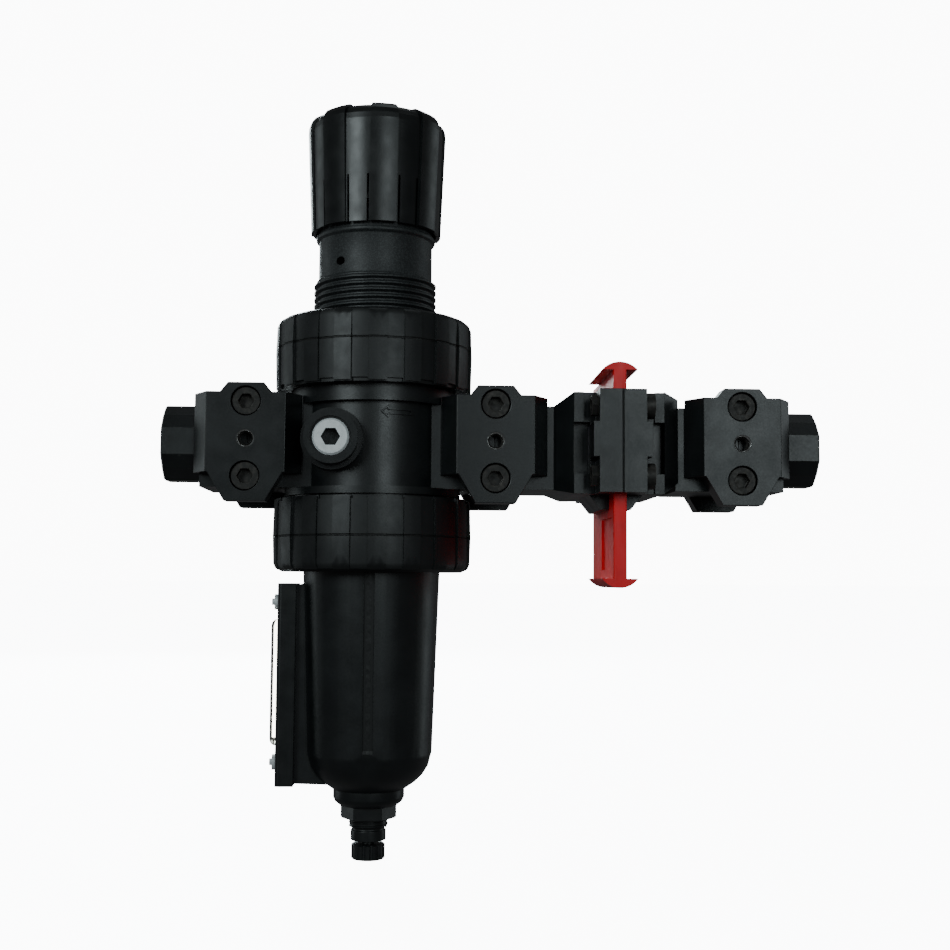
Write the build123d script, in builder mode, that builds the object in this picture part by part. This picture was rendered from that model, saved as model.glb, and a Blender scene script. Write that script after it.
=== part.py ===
from build123d import *
import os
from math import cos, radians, sin

os.makedirs("parts", exist_ok=True)

# Modular compressed-air set: a filter regulator with a slide shut-off valve, joined and ended by
# bolted clamps, with a threaded pipe adapter at each end.  Millimetres.  +Z is up, towards the
# pressure knob.  Air enters at +X and leaves at -X.  The clamps' mounting holes face -Y and the
# gauge faces +Y.  Everything is drawn round the point where the filter regulator's vertical axis
# meets the pipe axis (X), and written with the middle clamp's mounting thread at the origin.

# ---- Driving dimensions ----------------------------------------------------------------------
pitch = 90.0                      # from one clamp centre to the next
clamp_x = [-pitch / 2, pitch / 2, 3 * pitch / 2]
valve_x = pitch                   # centre of the shut-off valve
joint_gap = 0.1                   # each module face stands this far from its clamp's centre plane

pipe_bore_r = 7.0                 # air passage through every module
block_half_y = 17.5               # end blocks that the clamps close over
block_top, block_bottom = 14.0, -17.0
block_reach = 21.5                # end block, from the filter regulator's axis
rib_reach, rib_height, rib_half_z = 6.5, 3.0, 8.5   # wedge rib beside each joint plane
seal_r, seal_section_r = 8.6, 0.9                   # O-ring round the air passage at each joint

face_y = 27.0                     # outer face of a clamp half
clamp_back_y = 17.7               # inner face of a clamp half
clamp_half_x, clamp_face_half_x = 19.5, 14.2
tab_half_x, tab_top = 6.5, 20.2
tab_foot_half_x, shoulder_top = 9.2, 16.8
shoulder_bottom, foot_bottom, foot_half_x = -12.1, -22.5, 7.3
screw_z = 13.5                    # clamp screws, above and below the pipe axis
screw_r, screw_head_r, screw_head_depth = 3.0, 5.0, 6.0
counterbore_r, counterbore_depth = 5.4, 7.0
mount_hole_r = 2.5                # M6 tapped mounting hole
mount_thread_y, mouth_chamfer = 23.6, 0.6   # middle of its threaded wall, from the pipe axis
clearance_r = 3.3

body_r, neck_r, lip_r = 28.0, 31.0, 33.0
body_face = 38.0                  # top and bottom faces of the filter regulator body
ring_open, ring_height = 20.0, 27.0
ring_base_r, ring_rib_r, ring_rib_edge_r = 36.4, 37.2, 36.85
ring_bore_r, ring_lip_r, ring_lip_height = 31.1, 26.0, 2.4
ring_ribs = 18
chamber_r, element_chamber_r = 26.0, 24.0
tube_r, valve_cavity_r, seat_pocket_r = 12.5, 8.5, 10.0

port_x, port_boss_r, port_boss_y = -14.0, 9.6, 36.0
port_thread_r = 6.65              # gauge port, 1/4 inch

bonnet_thread_r, bonnet_neck_r = 23.25, 21.6
bonnet_thread_top, bonnet_top = 61.5, 88.0
spring_cavity_r, spring_cavity_top = 17.0, 84.0
knob_bottom, knob_top = 81.0, 127.0
knob_lobes = 8
screw_shank_r, screw_thread_r = 6.0, 5.0

bowl_flange_top, bowl_floor, bowl_bottom = -38.3, -121.5, -133.4
frame_outer_x, frame_inner_x, frame_half_y = -34.3, -27.4, 8.5
frame_top, frame_bottom = -51.8, -126.0

slide_half_x, slide_front, slide_rear = 2.45, -28.0, 27.0
slide_gap = 0.1
slide_top_cap, slide_bottom_cap = 26.5, -49.3
valve_half_y, valve_top, valve_bottom = 26.0, 18.4, -18.7
valve_half_x, flank_x = 16.5, 23.1
hub_front, hub_half_x, hub_tab_half_x = 36.0, 8.5, 10.6
valve_screw_y, valve_screw_z, valve_screw_r = 31.1, 12.7, 2.0

gauge_back, gauge_r, gauge_depth = 51.0, 26.2, 26.0


# ---- Helpers ---------------------------------------------------------------------------------
def save(builder, name):
    """Move a finished piece so that the middle mounting thread is at the origin, and write it."""
    placed = builder.part.moved(Location((-clamp_x[1], mount_thread_y, 0)))
    placed.label = name
    export_step(placed, f"parts/{name}.step")


def turned(points, mode=Mode.ADD, start=0.0, arc=360.0):
    """Revolve a closed outline of (radius, z) points about the vertical axis."""
    with BuildSketch(Plane.XZ.rotated((0, 0, start))) as outline:
        with BuildLine():
            Polyline(*points, close=True)
        make_face()
    revolve(outline.sketch, axis=Axis.Z, revolution_arc=arc, mode=mode)


def drilled(centre, axis, radius, length, mode=Mode.SUBTRACT):
    """A straight round hole or rod of the given length, centred on a point, along X, Y or Z."""
    turn = {"X": (0, 90, 0), "Y": (90, 0, 0), "Z": (0, 0, 0)}[axis]
    with Locations(centre):
        Cylinder(radius, length, rotation=turn, mode=mode)


def block(low, high, mode=Mode.ADD):
    """A box between two opposite corners."""
    centre = tuple((a + b) / 2 for a, b in zip(low, high))
    with Locations(centre):
        Box(*[b - a for a, b in zip(low, high)], mode=mode)


def prism(points, plane, depth, mode=Mode.ADD):
    """Extrude a closed outline of points from a plane, along the plane's normal."""
    with BuildSketch(plane) as outline:
        with BuildLine():
            Polyline(*points, close=True)
        make_face()
    extrude(outline.sketch, amount=depth, mode=mode)


def hex_prism(across_flats, centre, axis, length, mode=Mode.ADD):
    """A hexagonal bar or socket, centred on a point, along X, Y or Z."""
    plane = {"X": Plane.YZ, "Y": Plane.XZ, "Z": Plane.XY}[axis]
    with BuildSketch(Plane(centre, x_dir=plane.x_dir, z_dir=plane.z_dir)) as outline:
        RegularPolygon(across_flats / 2, 6, major_radius=False)
    extrude(outline.sketch, amount=length / 2, both=True, mode=mode)


def coil(wire_r, mean_r, bottom, top, turns):
    """A helical spring between two heights."""
    height = top - bottom - 2 * wire_r
    with BuildLine() as path:
        Helix(height / turns, height, mean_r, center=(0, 0, bottom + wire_r))
    start = path.line @ 0
    with BuildSketch(Plane(start, z_dir=path.line % 0)) as wire:
        Circle(wire_r)
    sweep(wire.sketch, path=path.line, is_frenet=True)


def end_block(joint_x, inner_x, top=block_top, bottom=block_bottom):
    """The block that a module brings to a joint, with its wedge ribs."""
    side = 1 if inner_x > joint_x else -1
    face = joint_x + side * joint_gap
    low_x, high_x = sorted((face, inner_x))
    block((low_x, -block_half_y, bottom), (high_x, block_half_y, top))
    for y_sign in (-1, 1):
        foot_y, crest_y = y_sign * (block_half_y - 1), y_sign * (block_half_y + rib_height)
        rib = [
            (face, foot_y),
            (face, crest_y),
            (joint_x + side * (rib_reach - 1), crest_y),
            (joint_x + side * (rib_reach + 0.6), foot_y),
        ]
        prism(rib, Plane.XY.offset(-rib_half_z), 2 * rib_half_z)


def joint_cuts(joint_x, side):
    """Screw notches and half of the O-ring groove, cut in a module's end face."""
    for z in (-screw_z, screw_z):
        drilled((joint_x, 0, z), "Y", clearance_r + 0.1, 4 * block_half_y)
    depth = seal_section_r + 0.02
    with BuildSketch(Plane((joint_x, 0, 0), x_dir=(0, 1, 0), z_dir=(side, 0, 0))) as groove:
        Circle(seal_r + seal_section_r + 0.05)
        Circle(seal_r - seal_section_r - 0.05, mode=Mode.SUBTRACT)
    extrude(groove.sketch, amount=depth, mode=Mode.SUBTRACT)


# ---- Filter regulator body -------------------------------------------------------------------
arrow_z, arrow_left, arrow_right = 10.2, 3.4, 14.6
with BuildPart() as flow_arrow:
    with BuildSketch(Plane.XZ.offset(15)):
        with BuildLine():
            Polyline(
                (arrow_left, arrow_z),
                (arrow_left + 3.0, arrow_z + 2.4),
                (arrow_left + 3.0, arrow_z + 1.0),
                (arrow_right, arrow_z + 1.0),
                (arrow_right, arrow_z - 1.0),
                (arrow_left + 3.0, arrow_z - 1.0),
                (arrow_left + 3.0, arrow_z - 2.4),
                close=True,
            )
        make_face()
        offset(amount=-0.45, mode=Mode.SUBTRACT)
    extrude(amount=20)
    Cylinder(body_r + 0.6, 60, mode=Mode.INTERSECT)

with BuildPart() as regulator_body:
    turned([
        (0, -body_face), (neck_r, -body_face), (neck_r, -19.6), (lip_r, -19.6), (lip_r, block_bottom),
        (body_r, block_bottom), (body_r, block_top), (neck_r, block_top), (neck_r, body_face),
        (0, body_face),
    ])
    end_block(clamp_x[0], -block_reach + 3)
    end_block(clamp_x[1], block_reach - 3)
    drilled((port_x, 0, 0), "Y", port_boss_r, 2 * port_boss_y, Mode.ADD)
    drilled((port_x, 0, 0), "Y", port_boss_r + 1.6, 2 * (port_boss_y - 7), Mode.ADD)
    add(flow_arrow.part)
    # diaphragm chamber above, element chamber below round a central tube
    turned([(0, 22), (chamber_r, 22), (chamber_r, body_face), (0, body_face)], Mode.SUBTRACT)
    turned([(tube_r, -body_face), (element_chamber_r, -body_face), (element_chamber_r, -22),
            (tube_r, -22)], Mode.SUBTRACT)
    # valve cavity up the middle, with a pocket for the seat
    turned([(0, -body_face), (tube_r, -body_face), (tube_r, -36), (valve_cavity_r, -36),
            (valve_cavity_r, 14), (seat_pocket_r, 14), (seat_pocket_r, 22), (0, 22)], Mode.SUBTRACT)
    # outlet passage on the left, inlet passage on the right
    drilled((-28.5, 0, 0), "X", pipe_bore_r, 33)
    drilled((28.5, 0, 0), "X", pipe_bore_r, 33)
    drilled((-19, 0, 11), "Z", 3.5, 22.4)
    drilled((18.5, 0, -11), "Z", 4.0, 22.4)
    # gauge ports, front and back
    drilled((port_x, 0, 0), "Y", 4.0, 2 * port_boss_y)
    for y_sign in (-1, 1):
        drilled((port_x, y_sign * (port_boss_y - 7), 0), "Y", port_thread_r, 14)
        drilled((port_x, y_sign * port_boss_y, 0), "Y", port_thread_r + 0.7, 1.6)
    joint_cuts(clamp_x[0], 1)
    joint_cuts(clamp_x[1], -1)
save(regulator_body, "regulator_body")


# ---- Bonnet and clamp rings ------------------------------------------------------------------
flange_top = 44.5
with BuildPart() as bonnet:
    turned([
        (spring_cavity_r, 42.2), (27.4, 42.2), (27.4, 40.1), (neck_r, 40.1), (neck_r, flange_top),
        (bonnet_thread_r, flange_top),
        (bonnet_thread_r, bonnet_thread_top - 0.8), (bonnet_thread_r - 0.8, bonnet_thread_top),
        (bonnet_neck_r, bonnet_thread_top), (bonnet_neck_r, 77.6), (bonnet_neck_r + 1.1, 78.2),
        (bonnet_neck_r + 1.1, 79.8), (bonnet_neck_r, 79.8), (bonnet_neck_r, bonnet_top - 1),
        (bonnet_neck_r - 1, bonnet_top), (screw_shank_r + 0.08, bonnet_top),
        (screw_shank_r + 0.08, spring_cavity_top), (spring_cavity_r, spring_cavity_top),
    ])
    # keyways that stop the spring nut turning
    for x_sign in (-1, 1):
        block((x_sign * 17.3 - 1.3, -2.2, 40.1), (x_sign * 17.3 + 1.3, 2.2, 83.0), Mode.SUBTRACT)
    # vent hole in the neck
    drilled((-12.4, -17.7, 67.3), "Y", 1.6, 14)
save(bonnet, "bonnet")


def clamp_ring(sign, open_z, first_rib):
    """A screwed ring that opens at open_z and closes away from the body (sign +1 up, -1 down)."""
    def z(height):
        return sign * (open_z + height)

    facet = 360 / ring_ribs / 2
    with BuildPart() as rib:
        turned([(ring_base_r - 1, z(0.4)), (ring_rib_edge_r, z(0.4)), (ring_rib_r, z(14)),
                (ring_rib_edge_r, z(24)), (ring_rib_edge_r - 0.7, z(25.6)), (ring_base_r - 1, z(26.3))],
               arc=facet)
    with BuildPart() as notch:
        turned([(ring_base_r - 1.1, z(-0.1)), (ring_rib_r, z(-0.1)), (ring_rib_r, z(1.3)),
                (ring_base_r - 1.1, z(1.3))], start=0.5, arc=facet - 1)
    with BuildPart() as ring:
        turned([(ring_bore_r, z(0)), (ring_base_r - 0.2, z(0)), (ring_base_r, z(14)),
                (ring_base_r, z(24)), (ring_base_r - 0.8, z(26)), (ring_base_r - 2.8, z(ring_height)),
                (ring_lip_r, z(ring_height)), (ring_lip_r, z(ring_height - ring_lip_height)),
                (ring_bore_r, z(ring_height - ring_lip_height))])
        with PolarLocations(0, ring_ribs, start_angle=first_rib):
            add(rib.part)
        with PolarLocations(0, ring_ribs, start_angle=first_rib + facet):
            add(notch.part, mode=Mode.SUBTRACT)
    return ring


save(clamp_ring(1, ring_open, 8.8), "upper_clamp_ring")
save(clamp_ring(-1, ring_open + 0.5, 9.4), "lower_clamp_ring")


# ---- Pressure setting: diaphragm, spring, screw and knob ---------------------------------------
with BuildPart() as diaphragm:
    turned([(4.3, 38.05), (18, 38.05), (20, 39.4), (22.2, 39.9), (24.4, 39.4), (26.2, 38.05),
            (30.9, 38.05), (30.9, 39.2), (26.9, 39.2), (24.9, 40.6), (22.2, 41.2), (19.5, 40.6),
            (17.5, 39.2), (4.3, 39.2)])
save(diaphragm, "diaphragm")

with BuildPart() as slip_ring:
    turned([(27.6, 39.25), (30.9, 39.25), (30.9, 40.05), (27.6, 40.05)])
save(slip_ring, "slip_ring")

with BuildPart() as diaphragm_plate:
    turned([(0.8, 35), (4, 35), (4, 39.35), (16.3, 39.35), (16.3, 41.2), (9.5, 41.2), (9.5, 45),
            (0.8, 45)])
save(diaphragm_plate, "diaphragm_plate")

with BuildPart() as diaphragm_washer:
    turned([(4.0, 36.4), (13, 36.4), (13, 37.9), (4.0, 37.9)])
save(diaphragm_washer, "diaphragm_washer")

with BuildPart() as regulating_spring:
    coil(1.7, 13.2, 41.3, 76.1, 6)
save(regulating_spring, "regulating_spring")

with BuildPart() as spring_nut:
    turned([(screw_thread_r + 0.06, 66), (8.5, 66), (8.5, 76.3), (16.4, 76.3), (16.4, 80.2),
            (screw_thread_r + 0.06, 80.2)])
    for x_sign in (-1, 1):
        block((x_sign * 16.8 - 1.2, -1.9, 76.3), (x_sign * 16.8 + 1.2, 1.9, 80.2))
save(spring_nut, "spring_nut")

with BuildPart() as adjusting_screw:
    turned([(0, 56), (4, 56), (screw_thread_r, 57), (screw_thread_r, 80.5), (8.5, 80.5), (8.5, 82.6),
            (screw_shank_r, 82.6), (screw_shank_r, 89.6), (5.2, 89.6), (5.2, 90.6), (screw_shank_r, 90.6),
            (screw_shank_r, 103.2), (5.2, 104), (0, 104)])
save(adjusting_screw, "adjusting_screw")

with BuildPart() as thrust_washer:
    turned([(screw_shank_r + 0.1, 82.8), (10.5, 82.8), (10.5, 83.9), (screw_shank_r + 0.1, 83.9)])
save(thrust_washer, "thrust_washer")

with BuildPart() as retaining_clip:
    turned([(5.25, 89.7), (8.6, 89.7), (8.6, 90.5), (5.25, 90.5)], start=25, arc=310)
save(retaining_clip, "retaining_clip")

hub_flats, hub_bottom, hub_top = 18.0, 92.0, 106.0
with BuildPart() as knob_hub:
    hex_prism(hub_flats, (0, 0, (hub_bottom + hub_top) / 2), "Z", hub_top - hub_bottom)
    turned([(0, hub_bottom), (screw_shank_r + 0.02, hub_bottom), (screw_shank_r + 0.02, 104.1),
            (0, 104.1)], Mode.SUBTRACT)
save(knob_hub, "knob_hub")

lobe_arc = 360 / knob_lobes / 2
first_lobe = -3.3
with BuildPart() as knob_lobe:
    turned([(22, knob_bottom), (24.75, knob_bottom), (26.4, 119.5), (26.3, 121.4), (25.7, 123.2),
            (24.5, 124.7), (22, 126.1), (20, 126.3)], arc=lobe_arc)
with BuildPart() as knob:
    turned([
        (23.0, knob_bottom), (24.1, knob_bottom), (25.4, 119.5), (25.2, 121.6), (24.4, 123.4),
        (22.8, 124.9), (20.0, 126.0), (14, 126.7), (0, knob_top), (0, 123.4), (22.2, 123.4),
        (22.8, 121.5),
    ])
    with PolarLocations(0, knob_lobes, start_angle=first_lobe):
        add(knob_lobe.part)
    turned([(0, knob_bottom), (23.0, knob_bottom), (22.8, 121.5), (22.2, 123.4), (0, 123.4)],
           Mode.SUBTRACT)
    # hexagonal socket that drives the hub and slides along it
    turned([(0, 92.5), (13, 92.5), (13, 123.6), (0, 123.6)])
    hex_prism(hub_flats + 0.5, (0, 0, (92.4 + 111.5) / 2), "Z", 111.5 - 92.4, Mode.SUBTRACT)
    # two slots beside each lobe free the skirt's snap fingers
    slot_reach, slot_top = 24.0, 98.5
    for lobe in range(knob_lobes):
        for slot_angle in (2.4, lobe_arc - 2.4):
            angle = first_lobe + lobe * 2 * lobe_arc + lobe_arc + slot_angle
            spot = (slot_reach * cos(radians(angle)), slot_reach * sin(radians(angle)))
            with Locations(Location((*spot, (knob_bottom + slot_top) / 2), (0, 0, angle))):
                Box(5, 0.8, slot_top - knob_bottom, mode=Mode.SUBTRACT)
save(knob, "knob")


# ---- Valve -----------------------------------------------------------------------------------
with BuildPart() as valve_seat:
    turned([(6, 14), (9.95, 14), (9.95, 20), (8.5, 21), (6, 21)])
save(valve_seat, "valve_seat")

with BuildPart() as valve_poppet:
    turned([(0, -11), (3, -11), (3, 9.6), (7.6, 9.6), (7.6, 12.6), (6.6, 13.85), (1.6, 13.85),
            (1.6, 34.4), (0.6, 34.9), (0, 34.9)])
save(valve_poppet, "valve_poppet")

guide_top, guide_bottom = -5.0, -24.0
with BuildPart() as valve_guide:
    turned([(0, guide_bottom), (8.45, guide_bottom), (8.45, guide_top), (3.05, guide_top),
            (3.05, -16), (0, -16)])
    with PolarLocations(5.8, 6):
        with Locations((0, 0, (guide_top + guide_bottom) / 2)):
            Cylinder(1.5, guide_top - guide_bottom + 1, mode=Mode.SUBTRACT)
    drilled((0, 0, guide_bottom + 2.5), "Z", 2.53, 5)
save(valve_guide, "valve_guide")

with BuildPart() as valve_spring:
    coil(0.5, 4.4, guide_top + 0.1, 9.5, 7)
save(valve_spring, "valve_spring")


# ---- Filter ----------------------------------------------------------------------------------
with BuildPart() as air_deflector:
    turned([(tube_r + 0.05, -33), (21.5, -33), (23.4, -30), (23.4, -29), (tube_r + 0.05, -29)])
    with PolarLocations(18.2, 12):
        with Locations(Location((0, 0, -26.6), (35, 0, 0))):
            Box(9, 0.9, 5.4)
    turned([(0, -40), (tube_r + 0.05, -40), (tube_r + 0.05, -20), (0, -20)], Mode.SUBTRACT)
    turned([(23.6, -40), (30, -40), (30, -20), (23.6, -20)], Mode.SUBTRACT)
    turned([(0, -24.2), (30, -24.2), (30, -20), (0, -20)], Mode.SUBTRACT)
save(air_deflector, "air_deflector")

element_top, element_bottom = -36.1, -96.0
with BuildPart() as filter_element:
    turned([(12.4, element_bottom), (17.5, element_bottom), (17.5, element_top), (12.4, element_top)])
save(filter_element, "filter_element")

with BuildPart() as element_retainer:
    turned([(0, -104), (5, -104), (6, -102), (6, -99.6), (19.5, -101.5), (19.8, -99.5), (17.8, -96.1),
            (11.8, -96.1), (11.8, -92), (9, -92), (9, -96), (2.5, -96), (2.5, -19.2), (0, -19.2)])
save(element_retainer, "element_retainer")


# ---- Bowl and sight glass --------------------------------------------------------------------
with BuildPart() as bowl:
    turned([
        (0, bowl_bottom), (10.75, bowl_bottom), (12.5, -132), (13.2, -130.5), (13.2, -127.6),
        (17.4, -124.7), (20.0, -122.2), (22.0, -119), (23.3, -114), (25.7, -44), (26.2, -42.7),
        (30.9, -42.7), (30.9, bowl_flange_top), (0, bowl_flange_top),
    ])
    # pad and gusset that carry the sight glass on the left
    prism([(frame_inner_x, -52.5), (-20, -50.5), (-10, -124.6), (-14, -125.6), (frame_inner_x, -125.2)],
          Plane.XZ.offset(-6.0), 12.0)
    turned([
        (0, bowl_floor), (10, bowl_floor), (17.5, -118), (20.3, -112), (22.6, -44),
        (22.6, bowl_flange_top), (0, bowl_flange_top),
    ], Mode.SUBTRACT)
    # window through the pad, screw holes, drain hole and O-ring groove
    block((frame_inner_x - 1, -2.6, -110), (-18, 2.6, -67), Mode.SUBTRACT)
    for z in (-58.8, -118.0):
        drilled((frame_inner_x + 2, 0, z), "X", 1.3, 4.4)
    drilled((0, 0, (bowl_floor + bowl_bottom) / 2), "Z", 7.05, bowl_floor - bowl_bottom + 1)
    turned([(26.1, -40.6), (28.9, -40.6), (28.9, bowl_flange_top), (26.1, bowl_flange_top)],
           Mode.SUBTRACT)
    # shallow upright channel down the front
    prism([(-27.5, -46), (-24.75, -46), (-22.6, -111.2), (-23.0, -112.4), (-25, -112.8),
           (-27.5, -112.8)], Plane.YZ.offset(-1.95), 3.9, Mode.SUBTRACT)
    fillet(bowl.edges().filter_by(GeomType.CIRCLE).group_by(Axis.Z)[-1].sort_by(SortBy.RADIUS)[-1], 0.4)
save(bowl, "bowl")

with BuildPart() as bowl_seal:
    with BuildSketch(Plane.XZ):
        with Locations((27.5, -39.3)):
            Circle(1.28)
    revolve(axis=Axis.Z)
save(bowl_seal, "bowl_seal")

lens_top, lens_bottom, lens_half_y = -65.2, -112.0, 3.6
lens_centre_z = (lens_top + lens_bottom) / 2
with BuildPart() as sight_glass_frame:
    block((frame_outer_x, -frame_half_y, frame_bottom), (frame_inner_x - 0.05, frame_half_y, frame_top))
    fillet(sight_glass_frame.edges().filter_by(Axis.Z).group_by(Axis.X)[0], 1.6)
    with BuildSketch(Plane((0, 0, lens_centre_z), x_dir=(0, 0, 1), z_dir=(-1, 0, 0))):
        with Locations((0, 0)):
            SlotOverall(lens_top - lens_bottom + 0.3, 2 * lens_half_y + 0.3)
    extrude(amount=40, mode=Mode.SUBTRACT)
    block((-31.1, -5.2, lens_bottom - 1.8), (frame_inner_x + 1, 5.2, lens_top + 1.8), Mode.SUBTRACT)
    for z in (-58.8, -118.0):
        drilled((-31, 0, z), "X", 1.65, 10)
save(sight_glass_frame, "sight_glass_frame")

with BuildPart() as sight_glass:
    with BuildSketch(Plane((-31.0, 0, lens_centre_z), x_dir=(0, 0, 1), z_dir=(-1, 0, 0))):
        SlotOverall(lens_top - lens_bottom, 2 * lens_half_y)
    extrude(amount=6.0)
    fillet(sight_glass.faces().sort_by(Axis.X)[0].edges(), 2.2)
    block((-31.0, -4.9, lens_bottom - 1.5), (-28.6, 4.9, lens_top + 1.5))
save(sight_glass, "sight_glass")

with BuildPart() as sight_glass_gasket:
    block((-28.55, -4.9, lens_bottom - 1.5), (frame_inner_x - 0.02, 4.9, lens_top + 1.5))
    block((-29, -2.6, -110), (-27, 2.6, -67), Mode.SUBTRACT)
save(sight_glass_gasket, "sight_glass_gasket")

with BuildPart() as sight_glass_screws:
    for z in (-58.8, -118.0):
        drilled((-31.2, 0, z), "X", 1.25, 11.6, Mode.ADD)
        drilled((frame_outer_x - 0.85, 0, z), "X", 2.9, 1.6, Mode.ADD)
        block((frame_outer_x - 2, -0.4, z - 2.2), (frame_outer_x - 1.0, 0.4, z + 2.2), Mode.SUBTRACT)
        block((frame_outer_x - 2, -2.2, z - 0.4), (frame_outer_x - 1.0, 2.2, z + 0.4), Mode.SUBTRACT)
save(sight_glass_screws, "sight_glass_screws")


# ---- Drain -----------------------------------------------------------------------------------
drain_thread_r, drain_body_r, stem_r = 7.0, 6.55, 2.9
with BuildPart() as drain_body:
    turned([
        (stem_r + 0.06, -146.2), (drain_body_r, -146.2), (drain_body_r, -142.6), (6.1, -142.3),
        (6.1, -141.5), (drain_thread_r, -141.2), (drain_thread_r, -121.3), (9.9, -121.3),
        (9.9, -119.2), (4, -118.0), (1.2, -118.0), (1.2, -120.4), (stem_r + 0.06, -120.4),
    ])
save(drain_body, "drain_body")

with BuildPart() as drain_nut:
    hex_prism(18.0, (0, 0, -135.95), "Z", 4.7)
    drilled((0, 0, -135.95), "Z", drain_thread_r + 0.05, 6)
    turned([(9.6, -138.4), (11, -138.4), (11, -137.6)], Mode.SUBTRACT)
save(drain_nut, "drain_nut")

with BuildPart() as drain_seal:
    turned([(7.1, -121.45), (9.9, -121.45), (9.9, -121.35), (7.1, -121.35)])
save(drain_seal, "drain_seal")

with BuildPart() as drain_stem:
    turned([(0, -151.5), (stem_r, -151.5), (stem_r, -121.5), (1.6, -120.5), (0, -120.5)])
    drilled((0, 0, -139), "Z", 1.0, 27)
    drilled((0, 0, -128), "X", 0.8, 10)
save(drain_stem, "drain_stem")

drain_flutes, drain_knob_r = 14, 6.25
with BuildPart() as drain_knob:
    turned([(stem_r + 0.02, -151.6), (1.6, -151.6), (1.6, -153.2), (5.7, -153.2), (drain_knob_r, -152.6),
            (drain_knob_r, -148), (5.7, -147.5), (stem_r + 0.02, -147.5)])
    with PolarLocations(drain_knob_r + 0.25, drain_flutes):
        with Locations((0, 0, -150.35)):
            Cylinder(0.7, 6.4, mode=Mode.SUBTRACT)
save(drain_knob, "drain_knob")


# ---- Gauge port plug and pressure gauge --------------------------------------------------------
with BuildPart() as gauge_port_plug:
    drilled((port_x, -31.2, 0), "Y", port_thread_r - 0.05, 8.6, Mode.ADD)
    chamfer(gauge_port_plug.edges().sort_by(Axis.Y)[0], 0.7)
    hex_prism(6.0, (port_x, -35.0, 0), "Y", 9.0, Mode.SUBTRACT)
save(gauge_port_plug, "gauge_port_plug")

gauge_axis = Plane((port_x, gauge_back, 0), x_dir=(-1, 0, 0), z_dir=(0, 1, 0))
dial_y = gauge_back + 19.0
with BuildPart() as gauge_socket:
    drilled((port_x, 31.5, 0), "Y", port_thread_r - 0.05, 11, Mode.ADD)
    hex_prism(14.0, (port_x, 43.4, 0), "Y", 12.8)
    drilled((port_x, 53.5, 0), "Y", 4.5, 8, Mode.ADD)
    block((port_x - 9, 55.5, -5), (port_x - 1.6, 58.5, 5))
    drilled((port_x, 38, 0), "Y", 1.6, 36)
save(gauge_socket, "gauge_socket")

with BuildPart() as gauge_case:
    with BuildSketch(gauge_axis):
        Circle(gauge_r - 1.2)
    extrude(amount=gauge_depth - 3.2)
    chamfer(gauge_case.edges().filter_by(GeomType.CIRCLE).sort_by(Axis.Y)[0], 2.0)
    with BuildSketch(gauge_axis.offset(1.4)):
        Circle(gauge_r - 2.6)
    extrude(amount=gauge_depth, mode=Mode.SUBTRACT)
    drilled((port_x, gauge_back, 0), "Y", 4.6, 10)
save(gauge_case, "gauge_case")

with BuildPart() as gauge_bezel:
    with BuildSketch(gauge_axis.offset(gauge_depth - 8.0)):
        Circle(gauge_r)
        Circle(gauge_r - 1.15, mode=Mode.SUBTRACT)
    extrude(amount=8.0)
    with BuildSketch(gauge_axis.offset(gauge_depth - 1.2)):
        Circle(gauge_r)
        Circle(gauge_r - 3.6, mode=Mode.SUBTRACT)
    extrude(amount=1.2)
    fillet(gauge_bezel.faces().sort_by(Axis.Y)[-1].edges().sort_by(SortBy.RADIUS)[-1], 0.8)
save(gauge_bezel, "gauge_bezel")

with BuildPart() as gauge_window:
    with BuildSketch(gauge_axis.offset(gauge_depth - 2.9)):
        Circle(gauge_r - 1.3)
    extrude(amount=1.6)
save(gauge_window, "gauge_window")

with BuildPart() as gauge_dial:
    with BuildSketch(gauge_axis.offset(dial_y - gauge_back - 1.0)):
        Circle(gauge_r - 2.9)
        Circle(1.5, mode=Mode.SUBTRACT)
    extrude(amount=1.0)
save(gauge_dial, "gauge_dial")

zero_angle = 225.0     # pointer at rest, anticlockwise from the right of the dial as it is read
pointer_way = (-cos(radians(zero_angle)), 0, sin(radians(zero_angle)))
with BuildPart() as gauge_pointer:
    drilled((port_x, dial_y - 0.8, 0), "Y", 1.0, 6.2, Mode.ADD)
    with BuildSketch(Plane((port_x, dial_y + 0.7, 0), x_dir=pointer_way, z_dir=(0, 1, 0))):
        with BuildLine():
            Polyline((-9.6, -1.6), (-8.6, -2.7), (-2.4, -1.1), (19.4, -0.25), (19.4, 0.25), (-2.4, 1.1),
                     (-8.6, 2.7), (-9.6, 1.6), close=True)
        make_face()
        Circle(3.1)
    extrude(amount=0.6)
save(gauge_pointer, "gauge_pointer")

tube_mean_r = 14.0
with BuildPart() as bourdon_tube:
    with BuildSketch(Plane((port_x, 57, 0), x_dir=(1, 0, 0), z_dir=(0, 1, 0))):
        with Locations((0, 0)):
            Circle(tube_mean_r + 1.1)
            Circle(tube_mean_r - 1.1, mode=Mode.SUBTRACT)
    extrude(amount=2.4, both=True)
    block((port_x - 20, 50, -20), (port_x, 65, 0), Mode.SUBTRACT)
    block((port_x - 15.1, 55.5, -0.5), (port_x - 9.1, 58.5, 2.4))
save(bourdon_tube, "bourdon_tube")

with BuildPart() as gauge_movement:
    block((port_x - 6, 60, -6), (port_x + 6, 61, 6))
    block((port_x - 6, 66.5, -6), (port_x + 6, 67.5, 6))
    for x, z in ((-5, -5), (5, -5), (-5, 5), (5, 5)):
        drilled((port_x + x, 63.7, z), "Y", 0.8, 6.4, Mode.ADD)
    drilled((port_x, 64, 0), "Y", 1.06, 10)
save(gauge_movement, "gauge_movement")


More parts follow.
